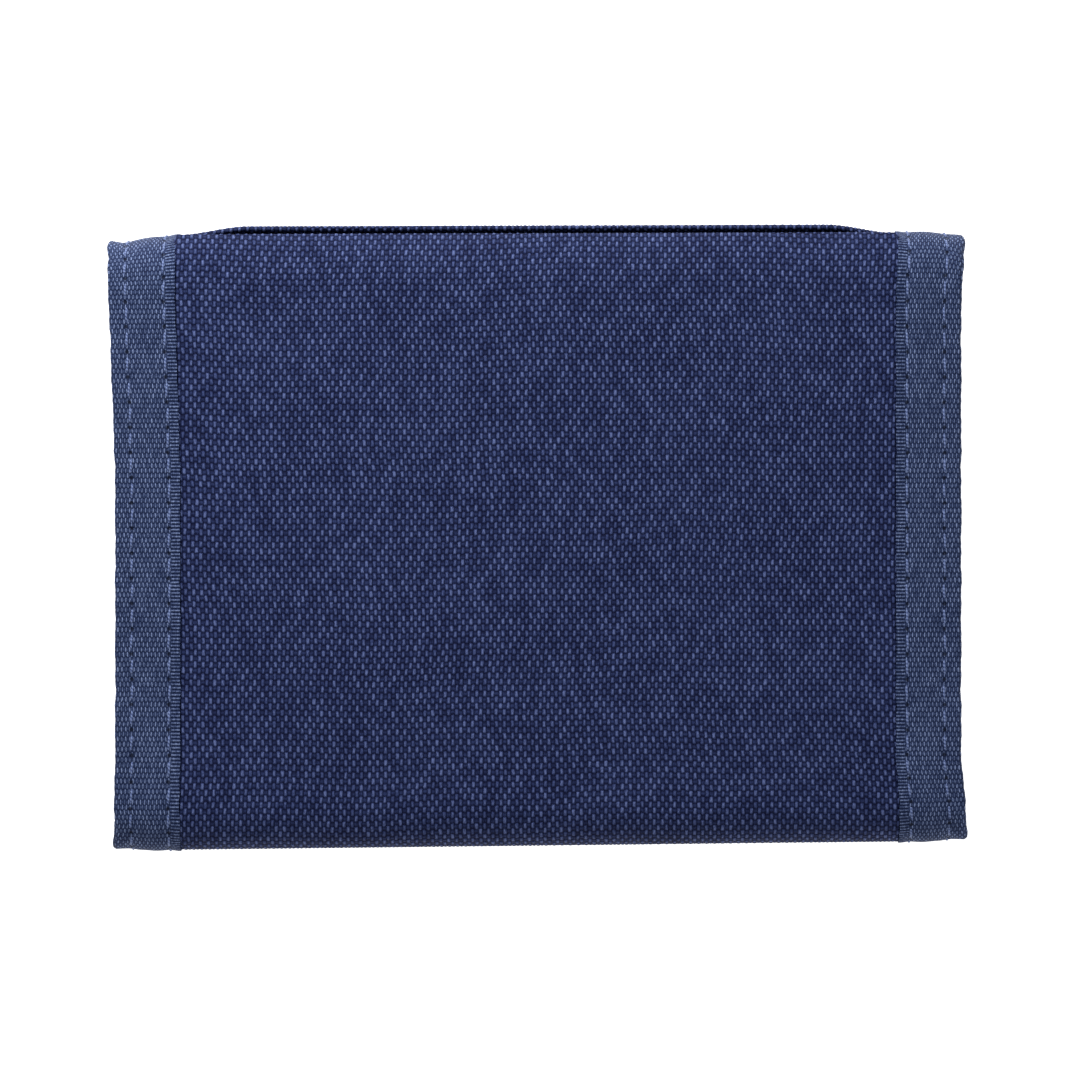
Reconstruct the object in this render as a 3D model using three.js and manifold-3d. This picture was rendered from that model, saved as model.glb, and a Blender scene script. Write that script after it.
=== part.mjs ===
// Trifold wallet in woven polyester, closed and lying on its front flap.
// Millimetres. X runs along the folds, Y from the bottom fold to the top fold, Z is the thickness.
// The flap rests on the table with its outer face at z = 0 and the back panel is on top.
import * as THREE from 'three';
import { mergeVertices } from 'three/addons/utils/BufferGeometryUtils.js';
import Module from 'manifold-3d';

const wasm = await Module();
wasm.setup();

// Driving dimensions of the closed wallet.
const WIDTH = 130;
const FOLDED_LENGTH = 94;
const THICKNESS = 18;
const INNER_LENGTH = 54;

// Webbing tape that binds the edges.
const TAPE_VISIBLE = 11;
const TAPE_LEG = 0.4;
const SPINE_LEG = 0.3;
const TAPE_WEB = 0.5;

// Cloth thicknesses and the air left between neighbouring layers.
const SHELL_CORE = 1.1;
const SHELL_EDGE = 0.4;
const CLOTH = 0.3;
const AIR = 0.3;

// Places that follow from the driving dimensions.
const halfWidth = WIDTH / 2;
const tapeInner = halfWidth - TAPE_VISIBLE;
const clothHalf = halfWidth - TAPE_WEB - AIR;
const coreHalf = tapeInner - AIR - 0.1;
const foldFace = FOLDED_LENGTH / 2;
const SPINE_DEPTH = 1.5;
const PANEL_END = 45;
const FLAP_FREE_END = -46.2;

// Heights of the three closed panels.
const FLAP_TOP = 2.3;
const LOOP_BOTTOM = 3.6;
const INNER_BOTTOM = 5.1;
const INNER_TOP = 9.6;
const BACK_BOTTOM = 12.3;

// Heights of the spines, clear of the two fold lines of each.
const TOP_SPINE = [1, 17];
const BOTTOM_SPINE = [4.6, 17];

// Hook and loop strips.
const STRIP_HALF = 40;
const STRIP_Y = [-34, -14];

// Sewing thread laid in a groove of the tape.
const THREAD_WIDTH = 0.5;
const THREAD_HEIGHT = 0.2;
const GROOVE_WIDTH = 0.7;
const GROOVE_DEPTH = 0.25;
const THREAD_OFFSETS = { outer: 2.1, inner: 7.7 };

// Zipper of the coin pocket.
const ZIP_Y = -10;
const ZIP_GAP = 0.55;
const COIL = { width: 1.9, bottom: 8.6, top: 9.6, half: 50 };
const ZIP_TAPE = { width: 6, bottom: 8, top: 8.3 };
const ZIP_MOUTH = 4.2;
const SLIDER_REST_X = 45;

function material(name, colour, roughness, metalness = 0) {
  return new THREE.MeshStandardMaterial({ name, color: colour, roughness, metalness });
}

const materials = {
  shell: material('navy_polyester', 0x2c365a, 0.85),
  lining: material('dark_lining', 0x161b2e, 0.7),
  tape: material('blue_webbing', 0x394668, 0.8),
  thread: material('blue_thread', 0x6b7fb8, 0.6),
  velcro: material('navy_velcro', 0x151b33, 0.95),
  zipper: material('navy_zipper', 0x10152a, 0.6),
  metal: material('dark_nickel', 0x8a8c90, 0.35, 1),
  vinyl: material('clear_vinyl', 0xcfd6dc, 0.15),
};
materials.vinyl.transparent = true;
materials.vinyl.opacity = 0.35;

const wallet = new THREE.Group();

function addNode(name, geometry, nodeMaterial) {
  const mesh = new THREE.Mesh(geometry, nodeMaterial);
  mesh.name = name;
  wallet.add(mesh);
}

// A block between two corners, given as the ranges it covers in X, Y and Z.
function block([x0, x1], [y0, y1], [z0, z1]) {
  const geometry = new THREE.BoxGeometry(x1 - x0, y1 - y0, z1 - z0);
  return geometry.translate((x0 + x1) / 2, (y0 + y1) / 2, (z0 + z1) / 2);
}

function plate(half, yRange, zRange) {
  return block([-half, half], yRange, zRange);
}

function toSolid(geometry) {
  const bare = geometry.clone();
  bare.deleteAttribute('normal');
  bare.deleteAttribute('uv');
  const merged = mergeVertices(bare, 1e-4);
  const mesh = new wasm.Mesh({
    numProp: 3,
    vertProperties: new Float32Array(merged.attributes.position.array),
    triVerts: new Uint32Array(merged.index.array),
  });
  return new wasm.Manifold(mesh);
}

function toGeometry(solid) {
  const mesh = solid.getMesh();
  const geometry = new THREE.BufferGeometry();
  geometry.setAttribute('position', new THREE.BufferAttribute(mesh.vertProperties, 3));
  geometry.setIndex(new THREE.BufferAttribute(mesh.triVerts, 1));
  geometry.computeVertexNormals();
  return geometry;
}

function join(...geometries) {
  return toGeometry(geometries.map(toSolid).reduce((whole, piece) => whole.add(piece)));
}

function cut(geometry, ...cutters) {
  return toGeometry(cutters.map(toSolid).reduce((whole, piece) => whole.subtract(piece), toSolid(geometry)));
}

function outline(points) {
  return new THREE.Shape(points.map(([a, b]) => new THREE.Vector2(a, b)));
}

// An outline in X and Z drawn out along Y.
function drawnAlongY(points, [y0, y1]) {
  const geometry = new THREE.ExtrudeGeometry(outline(points), { depth: y1 - y0, bevelEnabled: false });
  return geometry.rotateX(Math.PI / 2).translate(0, y1, 0);
}

// An outline in X and Y drawn out along Z.
function drawnAlongZ(shape, [z0, z1]) {
  const geometry = new THREE.ExtrudeGeometry(shape, { depth: z1 - z0, bevelEnabled: false, curveSegments: 6 });
  return geometry.translate(0, 0, z0);
}

// An outline in Y and Z drawn out along X.
function drawnAlongX(points, [x0, x1]) {
  const geometry = new THREE.ExtrudeGeometry(outline(points), { depth: x1 - x0, bevelEnabled: false });
  const turn = new THREE.Matrix4().makeBasis(
    new THREE.Vector3(0, 1, 0),
    new THREE.Vector3(0, 0, 1),
    new THREE.Vector3(1, 0, 0),
  );
  return geometry.applyMatrix4(turn).translate(x0, 0, 0);
}

// A folded tape seen end on: two legs and the web that joins them, as points of its section.
// "open" is where the legs end, "web" is the outer face of the web, low and high are the outer faces.
function channelSection(open, web, low, high, leg) {
  const webInner = web - Math.sign(web - open) * TAPE_WEB;
  return [
    [open, low],
    [web, low],
    [web, high],
    [open, high],
    [open, high - leg],
    [webInner, high - leg],
    [webInner, low + leg],
    [open, low + leg],
  ];
}

const sides = { left: -1, right: 1 };

// Edge tape along Y on both sides of a panel, with a grooved outer face and its two thread rows.
function bindSides(panel, yRange, zRange, outerFaceIsTop) {
  for (const [side, sign] of Object.entries(sides)) {
    const section = channelSection(sign * tapeInner, sign * halfWidth, zRange[0], zRange[1], TAPE_LEG);
    const tape = drawnAlongY(section, yRange);
    const face = outerFaceIsTop ? zRange[1] : zRange[0];
    const inward = outerFaceIsTop ? -1 : 1;
    const grooves = [];
    for (const [row, offset] of Object.entries(THREAD_OFFSETS)) {
      const x = sign * (halfWidth - offset);
      const grooveZ = [face - GROOVE_DEPTH, face + GROOVE_DEPTH];
      grooves.push(block([x - GROOVE_WIDTH / 2, x + GROOVE_WIDTH / 2], [yRange[0] - 1, yRange[1] + 1], grooveZ));
      const threadZ = [face, face + inward * THREAD_HEIGHT].sort((a, b) => a - b);
      const thread = block([x - THREAD_WIDTH / 2, x + THREAD_WIDTH / 2], yRange, threadZ);
      addNode(`${panel}_thread_${side}_${row}`, thread, materials.thread);
    }
    addNode(`${panel}_binding_${side}`, cut(tape, ...grooves), materials.tape);
  }
}

// Tape across the free end of a panel, between the two side tapes.
function bindEnd(panel, open, web, [low, high]) {
  const section = channelSection(open, web, low, high, TAPE_LEG);
  addNode(`${panel}_end_binding`, drawnAlongX(section, [-tapeInner + AIR, tapeInner - AIR]), materials.tape);
}

// Outer cloth of a panel: full thickness inside the tapes, thin where a tape pinches it.
function shell(name, edgeY, coreY, edgeZ, coreZ) {
  addNode(name, join(plate(clothHalf, edgeY, edgeZ), plate(coreHalf, coreY, coreZ)), materials.shell);
}

function makeFlap() {
  const edge = [FLAP_FREE_END + TAPE_WEB + AIR, PANEL_END];
  const tapeOpen = FLAP_FREE_END + TAPE_VISIBLE;
  shell('flap_shell', edge, [tapeOpen + AIR, PANEL_END], [0.7, SHELL_CORE], [0, SHELL_CORE]);
  addNode('flap_lining', plate(clothHalf, edge, [1.35, 1.6]), materials.lining);
  bindSides('flap', [FLAP_FREE_END, PANEL_END], [0, FLAP_TOP], false);
  bindEnd('flap', tapeOpen, FLAP_FREE_END, [0, FLAP_TOP]);
  addNode('hook_strip', plate(STRIP_HALF, STRIP_Y, [1.9, LOOP_BOTTOM - AIR]), materials.velcro);
  makeIdWindow();
}

// Clear window for a card on the inside of the flap, with the cloth frame that holds its edges.
function makeIdWindow() {
  const [x, low, high] = [46, -6, 42];
  const [holeX, holeLow, holeHigh] = [36, 2, 35];
  const frame = outline([[-x, low], [x, low], [x, high], [-x, high]]);
  const hole = new THREE.Path();
  const corner = 3;
  hole.absarc(-holeX + corner, holeLow + corner, corner, Math.PI * 1.5, Math.PI, true);
  hole.absarc(-holeX + corner, holeHigh - corner, corner, Math.PI, Math.PI / 2, true);
  hole.absarc(holeX - corner, holeHigh - corner, corner, Math.PI / 2, 0, true);
  hole.absarc(holeX - corner, holeLow + corner, corner, 0, -Math.PI / 2, true);
  hole.closePath();
  frame.holes.push(hole);
  addNode('id_window_frame', drawnAlongZ(frame, [2.35, 2.7]), materials.lining);
  addNode('id_window', plate(x - 2, [low + 2, high - 2], [1.85, 2.05]), materials.vinyl);
}

// The cloth and tape of one fold, standing between two panels.
function makeSpine(name, sign, zRange, lined) {
  const outer = sign * foldFace;
  const toY = (depth) => outer - sign * depth;
  const range = (a, b) => [toY(a), toY(b)].sort((p, q) => p - q);
  const edgeY = range(0.6, 0.9);
  const core = plate(coreHalf, range(0, 0.9), zRange);
  addNode(`${name}_shell`, join(plate(clothHalf, edgeY, zRange), core), materials.shell);
  for (const [side, sideSign] of Object.entries(sides)) {
    const open = sideSign * tapeInner;
    const web = sideSign * halfWidth;
    const webInner = web - sideSign * TAPE_WEB;
    const points = [
      [open, outer],
      [web, outer],
      [web, toY(SPINE_DEPTH)],
      [open, toY(SPINE_DEPTH)],
      [open, toY(SPINE_DEPTH - SPINE_LEG)],
      [webInner, toY(SPINE_DEPTH - SPINE_LEG)],
      [webInner, toY(SPINE_LEG)],
      [open, toY(SPINE_LEG)],
    ];
    addNode(`${name}_binding_${side}`, drawnAlongZ(outline(points), zRange), materials.tape);
  }
  if (lined) {
    const lining = plate(coreHalf, range(SPINE_DEPTH - SPINE_LEG, SPINE_DEPTH), zRange);
    addNode(`${name}_lining`, lining, materials.lining);
  }
}

function makeBack() {
  const yRange = [-PANEL_END, PANEL_END];
  const shellBottom = THICKNESS - SHELL_CORE;
  shell('back_shell', yRange, yRange, [shellBottom, shellBottom + SHELL_EDGE], [shellBottom, THICKNESS]);
  addNode('bill_divider', plate(clothHalf, yRange, [15.4, 15.4 + CLOTH]), materials.lining);
  addNode('card_backing', plate(clothHalf, yRange, [14.6, 14.6 + CLOTH]), materials.lining);
  const pockets = [
    { mouth: 26, bottom: 14 },
    { mouth: 15, bottom: 13.5 },
    { mouth: 4, bottom: 13 },
  ];
  pockets.forEach(({ mouth, bottom }, index) => {
    const pocket = plate(clothHalf, [-PANEL_END, mouth], [bottom, bottom + CLOTH]);
    addNode(`card_pocket_${index + 1}`, pocket, materials.lining);
  });
  bindSides('back', yRange, [BACK_BOTTOM, THICKNESS], true);
}

function makeInner() {
  const freeEnd = -foldFace + AIR + 0.1 + INNER_LENGTH;
  const edge = [-PANEL_END, freeEnd - TAPE_WEB - AIR];
  const tapeOpen = freeEnd - TAPE_VISIBLE;
  const edgeZ = [INNER_BOTTOM + 0.7, INNER_BOTTOM + SHELL_CORE];
  shell('inner_shell', edge, [-PANEL_END, tapeOpen - AIR], edgeZ, [INNER_BOTTOM, INNER_BOTTOM + SHELL_CORE]);
  addNode('inner_lining', plate(clothHalf, edge, [6.5, 6.5 + CLOTH]), materials.lining);
  addNode('loop_strip', plate(STRIP_HALF, STRIP_Y, [LOOP_BOTTOM, INNER_BOTTOM - AIR]), materials.velcro);
  bindSides('inner', [-PANEL_END, freeEnd], [INNER_BOTTOM, INNER_TOP], false);
  bindEnd('inner', tapeOpen, freeEnd, [INNER_BOTTOM, INNER_TOP]);
  makeCoinPocket(edge);
}

// Coin pocket on the inside of the inner panel: two cloth panels with a coil zipper between them.
function makeCoinPocket([yLow, yHigh]) {
  const panelZ = [8.6, 8.9];
  addNode('coin_panel_lower', plate(clothHalf, [yLow, ZIP_Y - ZIP_MOUTH], panelZ), materials.lining);
  addNode('coin_panel_upper', plate(clothHalf, [ZIP_Y + ZIP_MOUTH, yHigh], panelZ), materials.lining);
  for (const [place, sign] of Object.entries({ lower: -1, upper: 1 })) {
    const band = (width) => [ZIP_Y + sign * ZIP_GAP, ZIP_Y + sign * (ZIP_GAP + width)].sort((a, b) => a - b);
    const tape = plate(clothHalf, band(ZIP_TAPE.width), [ZIP_TAPE.bottom, ZIP_TAPE.top]);
    addNode(`zipper_tape_${place}`, tape, materials.zipper);
    const coil = plate(COIL.half, band(COIL.width), [COIL.bottom, COIL.top]);
    addNode(`zipper_coil_${place}`, coil, materials.zipper);
  }
  const stopHalf = ZIP_GAP + COIL.width;
  const stopY = [ZIP_Y - stopHalf, ZIP_Y + stopHalf];
  for (const [end, sign] of Object.entries({ open: -1, closed: 1 })) {
    const stopX = [sign * (COIL.half + AIR), sign * (COIL.half + AIR + 1.5)].sort((a, b) => a - b);
    addNode(`zipper_stop_${end}`, block(stopX, stopY, [COIL.bottom, COIL.top]), materials.metal);
  }
}

// A zipper slider's plate: straight sides, a rounded heel and a narrower nose.
function sliderPlate(length, width, zRange) {
  const [x, y, nose] = [length / 2, width / 2, width / 3];
  const shape = new THREE.Shape();
  shape.moveTo(-x, -nose);
  shape.lineTo(0, -y);
  shape.lineTo(x - 1, -y);
  shape.quadraticCurveTo(x, -y, x, -y + 1);
  shape.lineTo(x, y - 1);
  shape.quadraticCurveTo(x, y, x - 1, y);
  shape.lineTo(0, y);
  shape.lineTo(-x, nose);
  shape.closePath();
  return drawnAlongZ(shape, zRange).translate(SLIDER_REST_X, ZIP_Y, 0);
}

function post(radius, zRange, x) {
  const height = zRange[1] - zRange[0];
  const cylinder = new THREE.CylinderGeometry(radius, radius, height, 16).rotateX(Math.PI / 2);
  return cylinder.translate(x, ZIP_Y, (zRange[0] + zRange[1]) / 2);
}

const PULL_POST_X = SLIDER_REST_X - 1;

function makeSlider() {
  const lower = sliderPlate(8, 6.2, [7.1, 7.7]);
  const upper = sliderPlate(8.6, 6.6, [9.9, 10.5]);
  const neckX = [SLIDER_REST_X + 0.5, SLIDER_REST_X + 3];
  const neck = block(neckX, [ZIP_Y - 0.25, ZIP_Y + 0.25], [7.4, 10.2]);
  const stem = post(0.8, [10.2, 11.6], PULL_POST_X);
  const cap = post(1.5, [11.5, 11.9], PULL_POST_X);
  addNode('zipper_slider', join(lower, neck, upper, stem, cap), materials.metal);
}

// Pull tab, swivelling on the slider's post and lying along the closed zipper.
function makePull() {
  const [eye, halfWidthPull, length] = [1.1, 2.2, 20];
  const shape = new THREE.Shape();
  shape.absarc(0, 0, halfWidthPull, -Math.PI / 2, Math.PI / 2, false);
  shape.lineTo(-length + 2, halfWidthPull + 0.5);
  shape.absarc(-length, 0, halfWidthPull + 0.5, Math.PI / 2, Math.PI * 1.5, false);
  shape.closePath();
  const hole = new THREE.Path();
  hole.absarc(0, 0, eye, 0, Math.PI * 2, true);
  shape.holes.push(hole);
  const tab = drawnAlongZ(shape, [10.8, 11.2]).translate(PULL_POST_X, ZIP_Y, 0);
  addNode('zipper_pull', tab, materials.metal);
}

makeFlap();
makeSpine('top_fold', 1, TOP_SPINE, false);
makeBack();
makeSpine('bottom_fold', -1, BOTTOM_SPINE, true);
makeInner();
makeSlider();
makePull();

export default wallet;
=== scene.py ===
"""Trifold wallet in woven navy polyester: the looks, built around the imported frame.

Lengths in this file are millimetres in the row frame until a mesh is made, which is in metres.
X runs along the folds, Y from the bottom fold to the top fold, Z is the thickness of the closed wallet.
"""
import math

import bpy
import numpy as np
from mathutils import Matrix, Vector


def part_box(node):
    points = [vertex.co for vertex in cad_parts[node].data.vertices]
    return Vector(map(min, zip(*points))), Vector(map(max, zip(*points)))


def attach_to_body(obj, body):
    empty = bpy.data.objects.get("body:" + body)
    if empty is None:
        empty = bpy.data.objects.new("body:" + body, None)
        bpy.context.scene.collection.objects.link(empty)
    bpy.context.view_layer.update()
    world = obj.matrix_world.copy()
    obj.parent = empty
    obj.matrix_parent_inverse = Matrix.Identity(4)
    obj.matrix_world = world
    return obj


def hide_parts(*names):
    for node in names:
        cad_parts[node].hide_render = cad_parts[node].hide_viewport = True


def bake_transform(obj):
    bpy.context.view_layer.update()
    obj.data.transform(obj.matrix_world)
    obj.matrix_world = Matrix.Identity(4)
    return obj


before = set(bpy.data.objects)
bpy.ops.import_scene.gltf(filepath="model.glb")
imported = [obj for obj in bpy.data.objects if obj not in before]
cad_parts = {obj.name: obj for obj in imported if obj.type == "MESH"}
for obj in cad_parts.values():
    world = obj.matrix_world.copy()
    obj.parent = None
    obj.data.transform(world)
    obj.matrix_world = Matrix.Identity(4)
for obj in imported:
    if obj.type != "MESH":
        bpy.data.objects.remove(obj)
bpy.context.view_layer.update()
MM = 0.001


# ---------------------------------------------------------------- places from the frame

def box_mm(node):
    """Lowest and highest corner of a CAD node, in millimetres."""
    low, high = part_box(node)
    return np.array(low) / MM, np.array(high) / MM


HALF_WIDTH = box_mm("back_binding_right")[1][0]
TAPE_INNER = box_mm("back_binding_right")[0][0]
BACK_TOP = box_mm("back_shell")[1][2]
TOP_FOLD_Y = box_mm("top_fold_shell")[1][1]
BOTTOM_FOLD_Y = box_mm("bottom_fold_shell")[0][1]
FLAP_END_Y = box_mm("flap_binding_left")[0][1]
INNER_END_Y = box_mm("inner_binding_left")[1][1]
INNER_OUTER_Z = box_mm("inner_shell")[0][2]
ZIP_Y = (box_mm("zipper_coil_lower")[1][1] + box_mm("zipper_coil_upper")[0][1]) / 2
SPLIT_Y = -28.0


# ---------------------------------------------------------------- small maths

def smooth(t):
    """0 below 0, 1 above 1, a smooth step between."""
    t = np.clip(t, 0, 1)
    return t * t * (3 - 2 * t)


def bump_at(value, centre, width):
    return np.exp(-((value - centre) / width) ** 2)


class Strip:
    """A line in the YZ plane that cloth follows. Travelling along it, the outer side is on the right.

    Each part is (step, end) for a straight stretch or (step, handle, handle, end) for a cubic curve. The
    normals are averaged over reach, so that deep layers don't cross in a tight fold.
    """

    def __init__(self, start, *parts, reach=0.12):
        self.reach = reach
        dense = [np.array([start], float)]
        rows, marks, length = [0.0], [0.0], 0.0
        for step, *points in parts:
            p0 = dense[-1][-1]
            t = np.linspace(0, 1, 300)[1:, None]
            if len(points) == 1:
                curve = p0 + (np.array(points[0]) - p0) * t
            else:
                p1, p2, p3 = (np.array(p, float) for p in points)
                curve = (1 - t) ** 3 * p0 + 3 * t * (1 - t) ** 2 * p1 + 3 * t * t * (1 - t) * p2 + t**3 * p3
            dense.append(curve)
            part = np.linalg.norm(np.diff(np.vstack([p0[None], curve]), axis=0), axis=1).sum()
            count = max(1, round(part / step))
            rows += list(length + part * np.arange(1, count + 1) / count)
            length += part
            marks.append(length)
        self.points = np.vstack(dense)
        gaps = np.linalg.norm(np.diff(self.points, axis=0), axis=1)
        self.s = np.concatenate([[0], np.cumsum(gaps)])
        self.rows = np.array(rows)
        self.marks = marks
        self.length = length

    def point(self, s):
        return np.interp(s, self.s, self.points[:, 0]), np.interp(s, self.s, self.points[:, 1])

    def at(self, s):
        """y, z and the outward normal at arc lengths s."""
        s = np.asarray(s, float)
        y, z = self.point(s)
        y0, z0 = self.point(np.clip(s - self.reach, 0, self.length))
        y1, z1 = self.point(np.clip(s + self.reach, 0, self.length))
        size = np.hypot(y1 - y0, z1 - z0)
        return y, z, (z1 - z0) / size, -(y1 - y0) / size

    def between(self, low, high):
        inside = self.rows[(self.rows > low + 1e-6) & (self.rows < high - 1e-6)]
        return np.concatenate([[low], inside, [high]])


# ---------------------------------------------------------------- how the closed wallet has settled

def settle(x, y, z):
    """The slight swelling, tilt and flare of a used wallet, applied to every cloth piece alike."""
    side = np.sign(x)
    out = smooth((np.abs(x) - 30) / 34)
    upper = smooth((z - 9) / 6)
    swell = 0.75 * (1 - np.clip(np.abs(x) / 60, 0, 1) ** 3) * (1 - np.clip(np.abs(y) / 43, 0, 1) ** 3)
    ripple = 0.10 * np.sin(0.11 * x + 0.7) * np.sin(0.16 * y + 1.9)
    left_flare = 1.1 * smooth((y - 4) / 40) + 0.2 * smooth((-30 - y) / 14)
    right_flare = 0.5 * smooth((y - 36) / 8) + 0.8 * smooth((-32 - y) / 12)
    flare = np.where(side < 0, left_flare, right_flare)
    lean = np.where(y < 0, 0.0115 * x * smooth((-y - 30) / 14), 0.003 * x * smooth((y - 30) / 14))
    return x + side * out * flare, y + lean, np.maximum(z + (swell + ripple) * upper, 0.02)


# ---------------------------------------------------------------- meshes

def new_object(name, vertices, faces, material):
    """An object from arrays in millimetres, shaded smoothly but for its corners."""
    mesh = bpy.data.meshes.new(name)
    mesh.from_pydata((np.asarray(vertices) * MM).tolist(), [], [list(f) for f in faces])
    mesh.polygons.foreach_set("use_smooth", np.ones(len(mesh.polygons), bool))
    mesh.set_sharp_from_angle(angle=math.radians(62))
    mesh.materials.append(material)
    obj = bpy.data.objects.new(name, mesh)
    bpy.context.scene.collection.objects.link(obj)
    return obj


def set_cloth(obj, across, along, edge):
    """Cloth coordinates in millimetres, which the weaves are drawn in: across the warp, along it, and on the
    binding tapes the distance from the folded edge."""
    data = np.stack([across, along, edge], axis=1).astype(np.float32)
    layer = obj.data.attributes.new("cloth", "FLOAT_VECTOR", "POINT")
    layer.data.foreach_set("vector", data.ravel())


def signed_volume(v, quads):
    a, b, c, d = (v[quads[:, i]] for i in range(4))
    return (np.einsum("ij,ij->i", a, np.cross(b, c)) + np.einsum("ij,ij->i", a, np.cross(c, d))).sum()


def drift(x, s):
    """Where the yarns really run: a slow wander of the weave."""
    across = x + 0.22 * np.sin(0.09 * s + 0.05 * x) + 0.10 * np.sin(0.31 * s + 1.3)
    along = s + 0.30 * np.sin(0.07 * x + 0.4) + 0.12 * np.sin(0.23 * x + 0.05 * s)
    return across, along, np.zeros_like(across)


def sweep(name, strip, rows, section, material, relief=None, bulge=None, laid=drift):
    """A closed sheet swept along a strip.

    section is four arrays: x and depth of the outer face, x and depth of the inner face. Depth is measured
    inwards from the strip. relief adds the height of the yarns to the outer face, bulge moves the finished
    points, and laid turns x and arc length into the three cloth coordinates.
    """
    x_out, d_out, x_in, d_in = (np.broadcast_to(a, (len(rows), np.shape(a)[-1])) for a in section)
    y, z, ny, nz = (a[:, None] for a in strip.at(rows))
    s = np.broadcast_to(rows[:, None], x_out.shape)
    weave_x, weave_s, edge = laid(x_out, s)
    if relief is not None:
        d_out = d_out - relief(weave_x, weave_s, rows[:, None])
    faces_xyz = []
    for x, depth in ((x_out, d_out), (x_in, d_in)):
        px, py, pz = x, y - ny * depth, z - nz * depth
        if bulge is not None:
            px, py, pz = bulge(px, py, pz)
        faces_xyz.append(np.stack(settle(px, py, pz), axis=-1).reshape(-1, 3))
    vertices = np.vstack(faces_xyz)
    r, k = x_out.shape
    index = np.arange(r * k).reshape(r, k)
    top = np.stack([index[:-1, :-1], index[1:, :-1], index[1:, 1:], index[:-1, 1:]], -1).reshape(-1, 4)
    under = top[:, ::-1] + r * k

    def rim(border):
        return np.stack([border[:-1], border[1:], border[1:] + r * k, border[:-1] + r * k], -1)

    rims = np.vstack([rim(index[0]), rim(index[-1])[:, ::-1], rim(index[:, 0])[:, ::-1], rim(index[:, -1])])
    quads = np.vstack([top, under, rims])
    if signed_volume(vertices, quads) < 0:
        quads = quads[:, ::-1]
    obj = new_object(name, vertices, quads, material)
    set_cloth(obj, *(np.concatenate([a.ravel(), a.ravel()]) for a in (weave_x, weave_s, edge)))
    return obj


def flat_section(half, thickness, columns):
    x = np.linspace(-half, half, columns)
    return x, np.zeros_like(x), x, np.full_like(x, thickness)


# ---------------------------------------------------------------- shaders

class Shader:
    """A material whose nodes are written as expressions."""

    def __init__(self, name, roughness, specular=0.5, **constants):
        self.material = bpy.data.materials.new(name)
        self.material.use_nodes = True
        self.tree = self.material.node_tree
        self.bsdf = next(n for n in self.tree.nodes if n.type == "BSDF_PRINCIPLED")
        self.bsdf.inputs["Roughness"].default_value = roughness
        self.bsdf.inputs["Specular IOR Level"].default_value = specular
        for socket, value in constants.items():
            self.bsdf.inputs[socket.replace("_", " ")].default_value = value

    def node(self, kind, inputs=(), **settings):
        node = self.tree.nodes.new(kind)
        for key, value in settings.items():
            setattr(node, key, value)
        for key, value in dict(inputs).items():
            self.feed(node.inputs[key], value)
        return node

    def feed(self, socket, value):
        if isinstance(value, bpy.types.NodeSocket):
            self.tree.links.new(value, socket)
        elif value is not None:
            socket.default_value = value

    def math(self, operation, *values):
        return self.node("ShaderNodeMath", enumerate(values), operation=operation).outputs[0]

    def add(self, a, b):
        return self.math("ADD", a, b)

    def sub(self, a, b):
        return self.math("SUBTRACT", a, b)

    def mul(self, a, b):
        return self.math("MULTIPLY", a, b)

    def spread(self, value, low, high, to_low=0.0, to_high=1.0):
        inputs = {"Value": value, "From Min": low, "From Max": high, "To Min": to_low, "To Max": to_high}
        return self.node("ShaderNodeMapRange", inputs, interpolation_type="SMOOTHSTEP").outputs[0]

    def mix(self, factor, a, b):
        node = self.node("ShaderNodeMix", data_type="RGBA")
        for socket, value in ((node.inputs[0], factor), (node.inputs[6], a), (node.inputs[7], b)):
            self.feed(socket, (*value, 1) if isinstance(value, tuple) else value)
        return node.outputs[2]

    def cloth(self):
        source = self.node("ShaderNodeAttribute", attribute_name="cloth", attribute_type="GEOMETRY")
        parts = self.node("ShaderNodeSeparateXYZ", {0: source.outputs["Vector"]})
        return source.outputs["Vector"], parts.outputs[0], parts.outputs[1], parts.outputs[2]

    def noise(self, vector, scale, detail=2.0, roughness=0.5):
        inputs = {"Vector": vector, "Scale": scale, "Detail": detail, "Roughness": roughness}
        return self.node("ShaderNodeTexNoise", inputs, noise_dimensions="3D").outputs["Fac"]

    def place(self, vector, scale):
        return self.node("ShaderNodeMapping", {0: vector, 3: scale}).outputs[0]

    def finish(self, colour, height=None, distance=0.0, strength=1.0, roughness=None):
        self.feed(self.bsdf.inputs["Base Color"], colour)
        if roughness is not None:
            self.feed(self.bsdf.inputs["Roughness"], roughness)
        if height is not None:
            inputs = {"Height": height, "Distance": distance, "Strength": strength}
            normal = self.node("ShaderNodeBump", inputs).outputs[0]
            self.feed(self.bsdf.inputs["Normal"], normal)
        return self.material


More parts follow.
